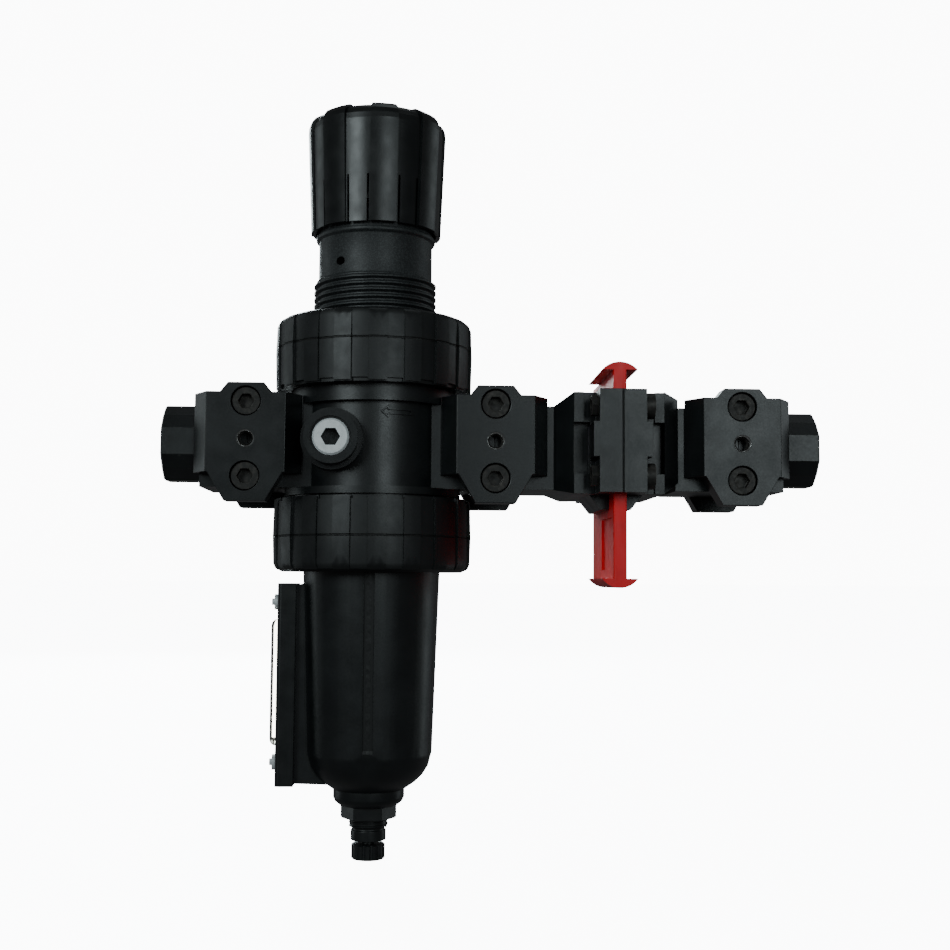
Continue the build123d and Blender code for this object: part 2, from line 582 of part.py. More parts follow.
# ---- Clamps ----------------------------------------------------------------------------------
def clamp_half(x, side):
    """Half of a clamp at joint x.  side -1 is the front half with the mounting hole, +1 the rear."""
    plane = Plane((x, side * clamp_back_y, 0), x_dir=(1, 0, 0), z_dir=(0, side, 0))
    up = 1 if plane.y_dir.Z > 0 else -1
    right = [
        (tab_half_x, tab_top), (tab_foot_half_x, shoulder_top), (clamp_half_x, shoulder_top),
        (clamp_half_x, shoulder_bottom), (clamp_face_half_x - 0.8, shoulder_bottom),
        (foot_half_x, foot_bottom),
    ]
    outline = right + [(-px, pz) for px, pz in reversed(right)]
    with BuildPart() as half:
        prism([(px, up * pz) for px, pz in outline], plane, face_y - clamp_back_y)
        for x_sign in (-1, 1):
            bevel = [
                (x + x_sign * clamp_face_half_x, side * (face_y + 1)),
                (x + x_sign * clamp_face_half_x, side * face_y),
                (x + x_sign * clamp_half_x, side * (clamp_back_y + 0.8)),
                (x + x_sign * (clamp_half_x + 1), side * (clamp_back_y + 0.8)),
                (x + x_sign * (clamp_half_x + 1), side * (face_y + 1)),
            ]
            prism(bevel, Plane.XY.offset(foot_bottom - 1), tab_top - foot_bottom + 2, Mode.SUBTRACT)
        # wedge pocket over the two modules' ribs
        crest, mouth = rib_reach - 0.8, rib_reach + 0.7
        floor_y = side * (block_half_y + rib_height + 0.2)
        prism([(x - crest, floor_y), (x + crest, floor_y), (x + mouth, side * (clamp_back_y - 1)),
               (x - mouth, side * (clamp_back_y - 1))],
              Plane.XY.offset(-rib_half_z - 0.3), 2 * rib_half_z + 0.6, Mode.SUBTRACT)
        for z in (-screw_z, screw_z):
            if side < 0:
                drilled((x, -22, z), "Y", clearance_r, 14)
                drilled((x, -face_y + counterbore_depth / 2, z), "Y", counterbore_r, counterbore_depth)
            else:
                drilled((x, 22, z), "Y", screw_r + 0.02, 14)
        if side < 0:
            drilled((x, -24, 0), "Y", mount_hole_r, 12)
            with BuildSketch(Plane((x, -face_y, 0), x_dir=(1, 0, 0), z_dir=(0, 1, 0))) as mouth_ring:
                Circle(mount_hole_r + mouth_chamfer)
            extrude(mouth_ring.sketch, amount=mouth_chamfer, taper=45, mode=Mode.SUBTRACT)
    return half


for position, joint_x in zip(("outlet", "middle", "inlet"), clamp_x):
    save(clamp_half(joint_x, -1), f"{position}_clamp_front")
    save(clamp_half(joint_x, 1), f"{position}_clamp_rear")

head_floor_y = -face_y + counterbore_depth
with BuildPart() as clamp_screws:
    for joint_x in clamp_x:
        for z in (-screw_z, screw_z):
            drilled((joint_x, head_floor_y - screw_head_depth / 2, z), "Y", screw_head_r,
                    screw_head_depth, Mode.ADD)
            drilled((joint_x, (head_floor_y + 25) / 2, z), "Y", screw_r, 25 - head_floor_y, Mode.ADD)
            hex_prism(5.0, (joint_x, head_floor_y - screw_head_depth + 1.5, z), "Y", 3.6, Mode.SUBTRACT)
save(clamp_screws, "clamp_screws")

with BuildPart() as joint_seals:
    with Locations(*[Location((joint_x, 0, 0), (0, 90, 0)) for joint_x in clamp_x]):
        Torus(seal_r, seal_section_r)
save(joint_seals, "joint_seals")


# ---- Pipe adapters ---------------------------------------------------------------------------
spigot_end, spigot_thread_r, spigot_thread_depth = 32.6, 9.3, 15.0
spigot_flat, spigot_corner, spigot_edge = 14.0, 10.0, 4.9


def adapter(joint_x, side):
    """A pipe adapter that leaves the joint at joint_x along side (-1 left, +1 right)."""
    quarter = [(spigot_flat, spigot_edge), (spigot_corner, spigot_corner), (spigot_edge, spigot_flat)]
    section = [
        (px * cx - py * sx, px * sx + py * cx)
        for turn in range(4)
        for cx, sx in [(round(cos(radians(90 * turn))), round(sin(radians(90 * turn))))]
        for px, py in quarter
    ]
    block_end, tip = joint_x + side * 17.5, joint_x + side * spigot_end
    with BuildPart() as piece:
        end_block(joint_x, block_end)
        prism(section, Plane((block_end - side * 2, 0, 0), x_dir=(0, 1, 0), z_dir=(side, 0, 0)),
              spigot_end - 15.5)
        chamfer(piece.faces().sort_by(Axis.X)[0 if side < 0 else -1].edges(), 0.7)
        drilled(((joint_x + tip) / 2, 0, 0), "X", pipe_bore_r, spigot_end + 1)
        drilled((tip - side * spigot_thread_depth / 2, 0, 0), "X", spigot_thread_r, spigot_thread_depth)
        mouth_r = 10.7
        with BuildSketch(Plane((tip, 0, 0), x_dir=(0, 1, 0), z_dir=(-side, 0, 0))) as mouth:
            Circle(mouth_r)
        extrude(mouth.sketch, amount=mouth_r - spigot_thread_r, taper=45, mode=Mode.SUBTRACT)
        joint_cuts(joint_x, side)
    return piece


save(adapter(clamp_x[0], -1), "outlet_adapter")
save(adapter(clamp_x[2], 1), "inlet_adapter")


# ---- Slide shut-off valve ----------------------------------------------------------------------
slide_seal_r, slide_seal_section_r = 9.4, 1.0


def valve_half(side):
    """Half of the shut-off valve's body.  side -1 is the outlet half, +1 the inlet half."""
    joint_x = valve_x + side * pitch / 2
    flank = valve_x + side * flank_x
    shoulder = valve_x + side * valve_half_x
    split = valve_x + side * 0.02
    with BuildPart() as half:
        end_block(joint_x, flank - side * 1)
        # flank that widens from the end block to the middle
        with BuildSketch(Plane((flank, 0, 0), x_dir=(0, 1, 0), z_dir=(-side, 0, 0))) as narrow:
            with Locations((0, (block_top + block_bottom) / 2)):
                Rectangle(2 * block_half_y, block_top - block_bottom)
        with BuildSketch(Plane((shoulder, 0, 0), x_dir=(0, 1, 0), z_dir=(-side, 0, 0))) as wide:
            with Locations((0, (valve_top + valve_bottom) / 2)):
                Rectangle(2 * valve_half_y, valve_top - valve_bottom)
        upright = [s.sketch.faces()[0] for s in (narrow, wide)]
        loft(upright)
        low_x, high_x = sorted((split, shoulder))
        block((low_x, -valve_half_y, valve_bottom), (high_x, valve_half_y, valve_top))
        hub_low, hub_high = sorted((split, valve_x + side * hub_half_x))
        tab_low, tab_high = sorted((split, valve_x + side * hub_tab_half_x))
        for y_sign in (-1, 1):
            y0, y1 = sorted((y_sign * (valve_half_y - 3), y_sign * hub_front))
            block((hub_low, y0, valve_bottom), (hub_high, y1, valve_top))
            block((tab_low, y0, -6.0), (tab_high, y1, 6.6))
            # hollow flank pockets between the corner pads
            pad_inner = valve_x + side * (hub_tab_half_x - 0.1)
            pocket_x0, pocket_x1 = sorted((pad_inner, shoulder + side * 0.1))
            y0, y1 = sorted((y_sign * (valve_half_y - 5), y_sign * (valve_half_y + 1)))
            block((pocket_x0, y0, -11.4), (pocket_x1, y1, 7.4), Mode.SUBTRACT)
            # relief behind each screw head or nut
            relief_x0, relief_x1 = sorted((valve_x + side * hub_half_x, valve_x + side * 13.0))
            y0, y1 = sorted((y_sign * (valve_half_y - 1.2), y_sign * (valve_half_y + 1)))
            for z in (-valve_screw_z, valve_screw_z):
                block((relief_x0, y0, z - 6.2), (relief_x1, y1, z + 6.2), Mode.SUBTRACT)
        # lower guides for the slide
        guide = [(split, valve_bottom + 1), (valve_x + side * 9.8, valve_bottom + 1),
                 (valve_x + side * 9.8, valve_bottom), (valve_x + side * 5.6, -24.0), (split, -24.0)]
        prism(guide, Plane.XZ.offset(-17), 34)
        # slot for the slide, bore, slide seal groove and screw holes
        slot_x0, slot_x1 = sorted((valve_x - side * 1, valve_x + side * (slide_half_x + slide_gap)))
        block((slot_x0, slide_front - 0.15, -30), (slot_x1, slide_rear + 0.15, 30), Mode.SUBTRACT)
        drilled((valve_x + side * 23, 0, 0), "X", pipe_bore_r, 46)
        with BuildSketch(Plane((valve_x + side * (slide_half_x + slide_gap), 0, 0), x_dir=(0, 1, 0),
                               z_dir=(side, 0, 0))) as groove:
            Circle(slide_seal_r + slide_seal_section_r + 0.05)
            Circle(slide_seal_r - slide_seal_section_r - 0.05, mode=Mode.SUBTRACT)
        extrude(groove.sketch, amount=2 * slide_seal_section_r, mode=Mode.SUBTRACT)
        for y in (-valve_screw_y, valve_screw_y):
            for z in (-valve_screw_z, valve_screw_z):
                drilled((valve_x + side * 6, y, z), "X", valve_screw_r + 0.15, 13)
        joint_cuts(joint_x, -side)
    return half


save(valve_half(-1), "shutoff_body_outlet")
save(valve_half(1), "shutoff_body_inlet")

cap_half_x, cap_rear = 6.5, 11.0
with BuildPart() as shutoff_slide:
    block((valve_x - slide_half_x, slide_front, slide_bottom_cap),
          (valve_x + slide_half_x, slide_rear, slide_top_cap))
    for z_sign, level, crown in ((1, slide_top_cap, 2.9), (-1, slide_bottom_cap, 3.4)):
        with BuildSketch(Plane.XZ.offset(-slide_front)):
            with BuildLine():
                RadiusArc((valve_x - cap_half_x, level), (valve_x + cap_half_x, level),
                          z_sign * (cap_half_x ** 2 + crown ** 2) / (2 * crown))
                Line((valve_x + cap_half_x, level), (valve_x - cap_half_x, level))
            make_face()
        extrude(amount=-(cap_rear - slide_front))
    # air passage, lock slot and the shallow exhaust channel
    drilled((valve_x, 0, 0), "X", pipe_bore_r, 10)
    with BuildSketch(Plane((valve_x, 10.5, 19.6), x_dir=(0, 1, 0), z_dir=(1, 0, 0))):
        SlotOverall(13.5, 7.6)
    extrude(amount=5, both=True, mode=Mode.SUBTRACT)
    block((valve_x - slide_half_x - 1, -23, -46), (valve_x - slide_half_x + 0.9, 3, -27), Mode.SUBTRACT)
    fillet(shutoff_slide.edges().filter_by(Axis.Z).group_by(Axis.Y)[0], 0.6)
save(shutoff_slide, "shutoff_slide")

with BuildPart() as slide_seals:
    seal_offset = slide_half_x + 0.06 + slide_seal_section_r
    with Locations(*[Location((valve_x + s * seal_offset, 0, 0), (0, 90, 0)) for s in (-1, 1)]):
        Torus(slide_seal_r, slide_seal_section_r)
save(slide_seals, "slide_seals")

with BuildPart() as shutoff_screws:
    for y in (-valve_screw_y, valve_screw_y):
        for z in (-valve_screw_z, valve_screw_z):
            drilled((valve_x + (hub_half_x + 0.05 - 10.6) / 2, y, z), "X", valve_screw_r,
                    hub_half_x + 10.7, Mode.ADD)
            drilled((valve_x + hub_half_x + 1.65, y, z), "X", 4.7, 3.2, Mode.ADD)
            hex_prism(3.0, (valve_x + hub_half_x + 3.0, y, z), "X", 2.4, Mode.SUBTRACT)
save(shutoff_screws, "shutoff_screws")

with BuildPart() as shutoff_nuts:
    for y in (-valve_screw_y, valve_screw_y):
        for z in (-valve_screw_z, valve_screw_z):
            hex_prism(7.0, (valve_x - hub_half_x - 1.3, y, z), "X", 2.4)
            drilled((valve_x - hub_half_x - 1.3, y, z), "X", valve_screw_r + 0.02, 4)
save(shutoff_nuts, "shutoff_nuts")
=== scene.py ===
"""Looks for the compressed-air filter regulator with its slide shut-off valve.  Metres, +Z up."""

import math

import bmesh
import bpy
from mathutils import Matrix, Vector


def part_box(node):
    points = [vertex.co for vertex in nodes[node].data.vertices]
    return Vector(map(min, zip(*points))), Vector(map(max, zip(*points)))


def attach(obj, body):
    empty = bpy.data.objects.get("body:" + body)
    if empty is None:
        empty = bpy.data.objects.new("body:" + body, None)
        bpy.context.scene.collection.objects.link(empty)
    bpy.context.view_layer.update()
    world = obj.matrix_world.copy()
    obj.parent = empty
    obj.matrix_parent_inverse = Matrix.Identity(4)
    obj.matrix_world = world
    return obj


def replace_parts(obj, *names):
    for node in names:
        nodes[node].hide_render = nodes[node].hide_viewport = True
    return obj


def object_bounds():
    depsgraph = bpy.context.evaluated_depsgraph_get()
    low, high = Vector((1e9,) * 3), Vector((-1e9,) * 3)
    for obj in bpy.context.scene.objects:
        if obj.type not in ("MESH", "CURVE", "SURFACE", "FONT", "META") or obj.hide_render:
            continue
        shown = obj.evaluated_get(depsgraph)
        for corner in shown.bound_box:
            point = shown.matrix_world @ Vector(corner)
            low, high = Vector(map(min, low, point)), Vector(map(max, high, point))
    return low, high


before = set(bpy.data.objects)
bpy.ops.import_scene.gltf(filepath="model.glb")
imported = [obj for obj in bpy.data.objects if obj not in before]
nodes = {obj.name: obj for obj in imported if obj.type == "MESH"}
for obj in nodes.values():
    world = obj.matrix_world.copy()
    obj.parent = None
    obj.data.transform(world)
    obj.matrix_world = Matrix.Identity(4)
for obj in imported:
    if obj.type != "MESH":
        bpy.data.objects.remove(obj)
cad_low, cad_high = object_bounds()

MM = 0.001


def box_centre(name):
    low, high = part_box(name)
    return (low + high) / 2


stem = Vector((box_centre("bonnet").x, box_centre("bonnet").y, 0))   # filter regulator's axis
pipe = Vector((0, box_centre("inlet_adapter").y, 0))                 # pipe axis


# ---- Materials -------------------------------------------------------------------------------
class Surface:
    """One node material: a Principled shader with procedural colour, roughness and relief."""

    def __init__(self, name, color, roughness, metallic=0.0, **sockets):
        self.material = bpy.data.materials.new(name)
        self.material.use_nodes = True
        self.tree = self.material.node_tree
        self.shader = self.tree.nodes["Principled BSDF"]
        self.shader.inputs["Base Color"].default_value = (*color, 1)
        self.shader.inputs["Roughness"].default_value = roughness
        self.shader.inputs["Metallic"].default_value = metallic
        for socket, value in sockets.items():
            self.shader.inputs[socket.replace("_", " ")].default_value = value
        self.coords = self.add("ShaderNodeTexCoord").outputs["Object"]
        self.relief = None

    def add(self, kind, **settings):
        node = self.tree.nodes.new(kind)
        for key, value in settings.items():
            setattr(node, key, value)
        return node

    def link(self, output, target):
        self.tree.links.new(output, target)

    def math(self, operation, first, second=0.0, third=None):
        node = self.add("ShaderNodeMath", operation=operation)
        for index, value in enumerate((first, second, third)):
            if value is None:
                continue
            if isinstance(value, (int, float)):
                node.inputs[index].default_value = value
            else:
                self.link(value, node.inputs[index])
        return node.outputs[0]

    def noise(self, size_mm, detail, stretch=(1, 1, 1)):
        """Noise from 0 to 1 whose lumps are about size_mm across."""
        scaled = self.add("ShaderNodeMapping")
        scaled.inputs["Scale"].default_value = [s / (size_mm * MM) for s in stretch]
        self.link(self.coords, scaled.inputs["Vector"])
        node = self.add("ShaderNodeTexNoise")
        node.inputs["Scale"].default_value = 1.0
        node.inputs["Detail"].default_value = detail
        self.link(scaled.outputs[0], node.inputs["Vector"])
        return node.outputs["Fac"]

    def ranged(self, value, low, high, to_low=0.0, to_high=1.0):
        node = self.add("ShaderNodeMapRange")
        self.link(value, node.inputs["Value"])
        for socket, number in zip(("From Min", "From Max", "To Min", "To Max"),
                                  (low, high, to_low, to_high)):
            node.inputs[socket].default_value = number
        return node.outputs["Result"]

    def tint(self, factor, color):
        """Mix the base colour towards color where factor is 1."""
        mix = self.add("ShaderNodeMix", data_type="RGBA")
        socket = self.shader.inputs["Base Color"]
        self.link(factor, mix.inputs["Factor"])
        if socket.links:
            self.link(socket.links[0].from_socket, mix.inputs["A"])
        else:
            mix.inputs["A"].default_value = socket.default_value
        mix.inputs["B"].default_value = (*color, 1)
        self.link(mix.outputs["Result"], socket)

    def shift(self, socket_name, factor, value):
        """Mix a number socket towards value where factor is 1."""
        mix = self.add("ShaderNodeMix", data_type="FLOAT")
        socket = self.shader.inputs[socket_name]
        self.link(factor, mix.inputs["Factor"])
        if socket.links:
            self.link(socket.links[0].from_socket, mix.inputs["A"])
        else:
            mix.inputs["A"].default_value = socket.default_value
        mix.inputs["B"].default_value = value
        self.link(mix.outputs["Result"], socket)

    def rough(self, value, low, high):
        """Roughness that follows a 0 to 1 value between two limits."""
        self.link(self.ranged(value, 0.3, 0.7, low, high), self.shader.inputs["Roughness"])

    def bump(self, height, depth_mm, strength=1.0):
        """Relief of the given depth on top of any relief already there."""
        node = self.add("ShaderNodeBump")
        node.inputs["Strength"].default_value = strength
        node.inputs["Distance"].default_value = depth_mm * MM
        self.link(height, node.inputs["Height"])
        if self.relief is not None:
            self.link(self.relief, node.inputs["Normal"])
        self.relief = node.outputs["Normal"]
        self.link(self.relief, self.shader.inputs["Normal"])

    def edges(self, radius_mm, threshold):
        """1 on sharp outside and inside edges, 0 on open faces."""
        bevel = self.add("ShaderNodeBevel", samples=4)
        bevel.inputs["Radius"].default_value = radius_mm * MM
        dot = self.add("ShaderNodeVectorMath", operation="DOT_PRODUCT")
        self.link(bevel.outputs["Normal"], dot.inputs[0])
        self.link(self.add("ShaderNodeNewGeometry").outputs["Normal"], dot.inputs[1])
        return self.ranged(dot.outputs["Value"], 1.0, 1.0 - threshold)

    def axis(self, letter):
        split = self.add("ShaderNodeSeparateXYZ")
        self.link(self.coords, split.inputs[0])
        return split.outputs[letter]

    def off_level(self, letter, level):
        """Distance from a level on one axis."""
        return self.math("ABSOLUTE", self.math("SUBTRACT", self.axis(letter), level))

    def off_axis(self, x, z):
        """Distance from the line along Y through x and z."""
        dx = self.math("SUBTRACT", self.axis("X"), x)
        dz = self.math("SUBTRACT", self.axis("Z"), z)
        squares = self.math("ADD", self.math("MULTIPLY", dx, dx), self.math("MULTIPLY", dz, dz))
        return self.math("SQRT", squares)

    def score(self, letter, level, floor_mm, dark_mm, color):
        """A fine V-shaped line all round the piece, at one level of an axis."""
        lip_mm, depth_mm = 0.4, 0.3
        beside = self.off_level(letter, level)
        self.bump(self.ranged(beside, floor_mm * MM, lip_mm * MM), depth_mm)
        self.tint(self.math("LESS_THAN", beside, dark_mm * MM), color)


def add_channel(paint, x, y, half_width):
    """Painted shade darkening an upright groove at x, in front of y, and a roughened strip down its
    middle.
    """
    top, foot = -46 * MM, -112.5 * MM
    off = paint.off_level("X", x)
    inside = paint.math("MULTIPLY", paint.math("LESS_THAN", off, half_width * 0.98),
                        paint.math("LESS_THAN", paint.axis("Y"), y))
    below = paint.math("MULTIPLY", inside, paint.math("LESS_THAN", paint.axis("Z"), top))
    groove = paint.math("MULTIPLY", below, paint.math("GREATER_THAN", paint.axis("Z"), foot))
    strip = paint.math("MULTIPLY", groove, paint.math("LESS_THAN", off, half_width * 0.45))
    lumps = paint.math("MULTIPLY", paint.noise(2.2, 2, (1.2, 1, 0.7)), strip)
    paint.bump(lumps, 0.45, 0.7)
    # painted shade: the groove's colour is darkened as if shade falls inside it
    paint.tint(paint.math("MULTIPLY", groove, 0.85), (0.0015, 0.002, 0.0022))
    paint.shift("Roughness", groove, 0.5)


def add_countersink(paint, x, y, z):
    """Bare metal inside a threaded hole that goes in from the front face at y."""
    reach, skin = 3.2 * MM, 0.04 * MM
    near = paint.math("LESS_THAN", paint.off_axis(x, z), reach)
    cut = paint.math("MULTIPLY", near, paint.math("GREATER_THAN", paint.axis("Y"), y + skin))
    paint.tint(cut, (0.5, 0.5, 0.49))
    paint.shift("Metallic", cut, 1.0)
    paint.shift("Roughness", cut, 0.22)


def black_paint(name, holes=(), channel=None, seam=None):
    """Satin black paint on die-cast metal.

    holes are the (x, y, z) of threaded holes in the front face, channel the (x, y, half width) of an
    upright groove, and seam the x of the joint between two castings.
    """
    paint = Surface(name, (0.0042, 0.0055, 0.006), 0.36, Specular_IOR_Level=0.5)
    blotches, grain = paint.noise(9.0, 4), paint.noise(0.55, 4)
    paint.tint(paint.ranged(blotches, 0.4, 0.75), (0.007, 0.0088, 0.0095))
    mottle = paint.math("MULTIPLY_ADD", grain, 0.5, paint.math("MULTIPLY", blotches, 0.5))
    paint.rough(mottle, 0.29, 0.44)
    paint.bump(grain, 0.012, 0.6)
    paint.bump(paint.noise(2.6, 2), 0.03, 0.3)
    patches = paint.ranged(paint.noise(1.6, 5), 0.55, 0.75)
    paint.tint(paint.math("MULTIPLY", paint.edges(0.35, 0.12), patches), (0.04, 0.046, 0.05))
    if seam is not None:
        paint.score("X", seam, 0.1, 0.16, (0.0005, 0.0006, 0.0006))
    if channel:
        add_channel(paint, *channel)
    for hole in holes:
        add_countersink(paint, *hole)
    return paint.material


def moulded(name, color, paler, roughness, grain_mm, grain_depth, **sockets):
    """Injection-moulded plastic with a fine spark-eroded grain and faint flow marks."""
    plastic = Surface(name, color, roughness, **sockets)
    grain = plastic.noise(grain_mm, 5)
    plastic.tint(plastic.ranged(grain, 0.45, 0.75), paler)
    plastic.rough(plastic.noise(6.0, 4), roughness - 0.05, roughness + 0.06)
    plastic.bump(grain, grain_depth, 0.8)
    plastic.bump(plastic.noise(14.0, 2), 0.05, 0.1)
    return plastic


def ring_nylon():
    """Rubbery black nylon for the clamp rings, with the mould's parting line."""
    parting_levels = (35.8 * MM, -34.6 * MM)
    nylon = moulded("ring_nylon", (0.0042, 0.0052, 0.0056), (0.0075, 0.009, 0.0095), 0.43, 0.45, 0.014)
    for level in parting_levels:
        nylon.score("Z", level, 0.08, 0.14, (0.001, 0.0012, 0.0013))
    return nylon.material


def machined(name, color, roughness, groove_mm, axis="Z"):
    """Turned metal, with fine tool marks square to its axis."""
    metal = Surface(name, color, roughness, 1.0)
    marks = metal.math("SINE", metal.math("MULTIPLY", metal.axis(axis), 2 * math.pi / (groove_mm * MM)))
    metal.rough(metal.noise(3.0, 4), roughness - 0.02, roughness + 0.04)
    metal.bump(marks, 0.003, 0.4)
    metal.bump(metal.noise(1.2, 3), 0.0015, 0.3)
    metal.tint(metal.ranged(metal.noise(5.0, 4), 0.5, 0.8), [c * 0.88 for c in color])
    return metal.material


def bright_zinc(x, y, z):
    """Bright zinc-plated steel, with painted shade darkening it down the key socket that goes in from
    the front at (x, y, z).
    """
    socket_reach, lit_depth, dark_depth = 3.6 * MM, 0.1 * MM, 2.5 * MM
    zinc = Surface("bright_zinc", (0.93, 0.97, 0.98), 0.3, 0.25)
    zinc.rough(zinc.noise(2.0, 4), 0.24, 0.38)
    zinc.bump(zinc.noise(0.8, 3), 0.003, 0.4)
    deep = zinc.ranged(zinc.axis("Y"), y + lit_depth, y + dark_depth)
    painted_socket_shade = zinc.math("MULTIPLY", deep, zinc.math("LESS_THAN", zinc.off_axis(x, z), socket_reach))
    # painted shade: darker the deeper it goes into the key socket
    zinc.tint(painted_socket_shade, (0.03, 0.034, 0.036))
    return zinc.material


def black_oxide():
    """Blackened steel, oily and worn brown-grey at the edges."""
    oxide = Surface("black_oxide", (0.022, 0.021, 0.0195), 0.5, 0.5)
    oxide.rough(oxide.noise(1.2, 4), 0.42, 0.62)
    oxide.tint(oxide.ranged(oxide.noise(1.8, 5), 0.45, 0.75), (0.05, 0.045, 0.04))
    oxide.tint(oxide.edges(0.25, 0.15), (0.11, 0.1, 0.09))
    oxide.bump(oxide.noise(0.3, 3), 0.008, 0.5)
    return oxide.material


def rubber():
    seal = Surface("rubber", (0.012, 0.012, 0.012), 0.68)
    seal.bump(seal.noise(0.4, 3), 0.01, 0.5)
    seal.rough(seal.noise(2.0, 3), 0.6, 0.75)
    return seal.material


def red_slide():
    """Glass-filled red plastic, a little scuffed where it slides."""
    red = Surface("red_slide", (0.86, 0.003, 0.009), 0.42, Specular_IOR_Level=0.35)
    red.tint(red.ranged(red.noise(7.0, 4), 0.45, 0.8), (0.72, 0.002, 0.007))
    red.rough(red.noise(3.0, 5, (1, 1, 0.2)), 0.33, 0.5)
    red.bump(red.noise(0.5, 4), 0.012, 0.6)
    scuffs = red.ranged(red.noise(1.0, 3, (2, 2, 0.08)), 0.63, 0.72)
    red.tint(red.math("MULTIPLY", scuffs, 0.15), (0.8, 0.12, 0.12))
    return red.material


def sintered():
    """White porous filter element."""
    element = Surface("sintered_element", (0.82, 0.81, 0.76), 0.85)
    element.bump(element.noise(0.35, 2), 0.08, 1.0)
    element.tint(element.ranged(element.noise(0.5, 2), 0.5, 0.7), (0.62, 0.6, 0.54))
    return element.material


def clear_lens():
    """Clear moulded plastic, faintly yellow and rippled."""
    lens = Surface("sight_lens", (0.93, 0.9, 0.78), 0.08, IOR=1.49, Transmission_Weight=1.0)
    lens.rough(lens.noise(4.0, 3), 0.08, 0.13)
    lens.bump(lens.noise(8.0, 2), 0.01, 0.1)
    return lens.material


def cover_glass():
    """Thin flat glass over the dial, nearly all clear."""
    glass = Surface("gauge_glass", (0.02, 0.022, 0.022), 0.05, Alpha=0.1)
    glass.rough(glass.noise(4.0, 3), 0.04, 0.07)
    glass.bump(glass.noise(8.0, 2), 0.01, 0.1)
    return glass.material


def print_ink(name, color):
    ink = Surface(name, color, 0.5, Specular_IOR_Level=0.0)
    ink.rough(ink.noise(0.6, 2), 0.42, 0.58)
    return ink.material


def dial_card():
    card = Surface("dial_card", (0.84, 0.85, 0.83), 0.5)
    card.tint(card.ranged(card.noise(5.0, 3), 0.5, 0.8), (0.8, 0.81, 0.79))
    card.rough(card.noise(1.0, 3), 0.42, 0.55)
    card.bump(card.noise(0.6, 2), 0.003, 0.3)
    return card.material


clamp_places = ("outlet", "middle", "inlet")
clamp_holes = []
for place in clamp_places:
    front = f"{place}_clamp_front"
    clamp_holes.append((box_centre(front).x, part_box(front)[0].y, 0.0))
plug_centre = box_centre("gauge_port_plug")
plug_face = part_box("gauge_port_plug")[0].y
channel_half_width, channel_reach = 1.95 * MM, 20 * MM

cast_black = black_paint("cast_black")
valve_black = black_paint("valve_black", seam=box_centre("shutoff_slide").x)
bowl_black = black_paint("bowl_black", channel=(stem.x, stem.y - channel_reach, channel_half_width))
clamp_black = black_paint("clamp_black", clamp_holes)
rings = ring_nylon()
bonnet_grain = moulded("bonnet_nylon", (0.009, 0.0115, 0.0125), (0.05, 0.056, 0.058),
                       0.5, 0.5, 0.035).material
knob_black = moulded("knob_plastic", (0.0036, 0.0046, 0.005), (0.005, 0.0062, 0.0066),
                     0.33, 0.9, 0.002).material
dark_plastic = moulded("dark_plastic", (0.0045, 0.0056, 0.006), (0.0075, 0.009, 0.0095),
                       0.36, 0.6, 0.008).material
white_plastic = moulded("white_plastic", (0.8, 0.8, 0.77), (0.84, 0.84, 0.82), 0.45, 0.8, 0.01).material
slide_red = red_slide()
oxide = black_oxide()
seal_rubber = rubber()
plated_bright = bright_zinc(plug_centre.x, plug_face, plug_centre.z)
case_steel = machined("case_steel", (0.3, 0.315, 0.325), 0.27, 0.5, "Y")
spring_steel = machined("spring_steel", (0.45, 0.46, 0.47), 0.3, 0.3)
plain_steel = machined("plain_steel", (0.55, 0.55, 0.55), 0.28, 0.25)
turned_brass = machined("turned_brass", (0.72, 0.52, 0.23), 0.24, 0.25)
turned_aluminium = machined("turned_aluminium", (0.72, 0.73, 0.75), 0.3, 0.25)
porous_white = sintered()
sight_lens = clear_lens()
gauge_glass = cover_glass()
card_white = dial_card()
ink_black = print_ink("ink_black", (0.003, 0.003, 0.0035))
ink_red = print_ink("ink_red", (0.5, 0.01, 0.01))
pointer_grey = moulded("pointer_grey", (0.006, 0.0065, 0.007), (0.008, 0.0085, 0.009), 0.55, 0.4, 0.004,
                       Specular_IOR_Level=0.0).material

coats = {
    bowl_black: ["bowl"],
    valve_black: ["shutoff_body_outlet", "shutoff_body_inlet"],
    cast_black: ["regulator_body", "outlet_adapter", "inlet_adapter", "outlet_clamp_rear",
                 "middle_clamp_rear", "inlet_clamp_rear"],
    clamp_black: ["outlet_clamp_front", "middle_clamp_front", "inlet_clamp_front"],
    rings: ["upper_clamp_ring", "lower_clamp_ring"],
    bonnet_grain: ["bonnet"],
    knob_black: ["knob"],
    dark_plastic: ["sight_glass_frame", "drain_body", "drain_nut", "drain_knob", "drain_stem",
                   "air_deflector", "element_retainer"],
    white_plastic: ["slip_ring", "thrust_washer", "valve_guide"],
    slide_red: ["shutoff_slide"],
    oxide: ["clamp_screws", "shutoff_screws", "shutoff_nuts", "retaining_clip"],
    seal_rubber: ["diaphragm", "bowl_seal", "sight_glass_gasket", "drain_seal", "joint_seals",
                  "slide_seals"],
    plated_bright: ["gauge_port_plug", "sight_glass_screws"],
    case_steel: ["gauge_case", "gauge_bezel"],
    spring_steel: ["regulating_spring", "valve_spring"],
    plain_steel: ["adjusting_screw", "diaphragm_washer"],
    turned_brass: ["knob_hub", "spring_nut", "valve_seat", "valve_poppet", "gauge_socket",
                   "bourdon_tube", "gauge_movement"],
    turned_aluminium: ["diaphragm_plate"],
    porous_white: ["filter_element"],
    sight_lens: ["sight_glass"],
    gauge_glass: ["gauge_window"],
    card_white: ["gauge_dial"],
    pointer_grey: ["gauge_pointer"],
}
for material, names in coats.items():
    for name in names:
        mesh = nodes[name].data
        mesh.materials.clear()
        mesh.materials.append(material)
for name in ("gauge_window", "sight_glass"):   # lamps shine through these
    nodes[name].visible_shadow = False


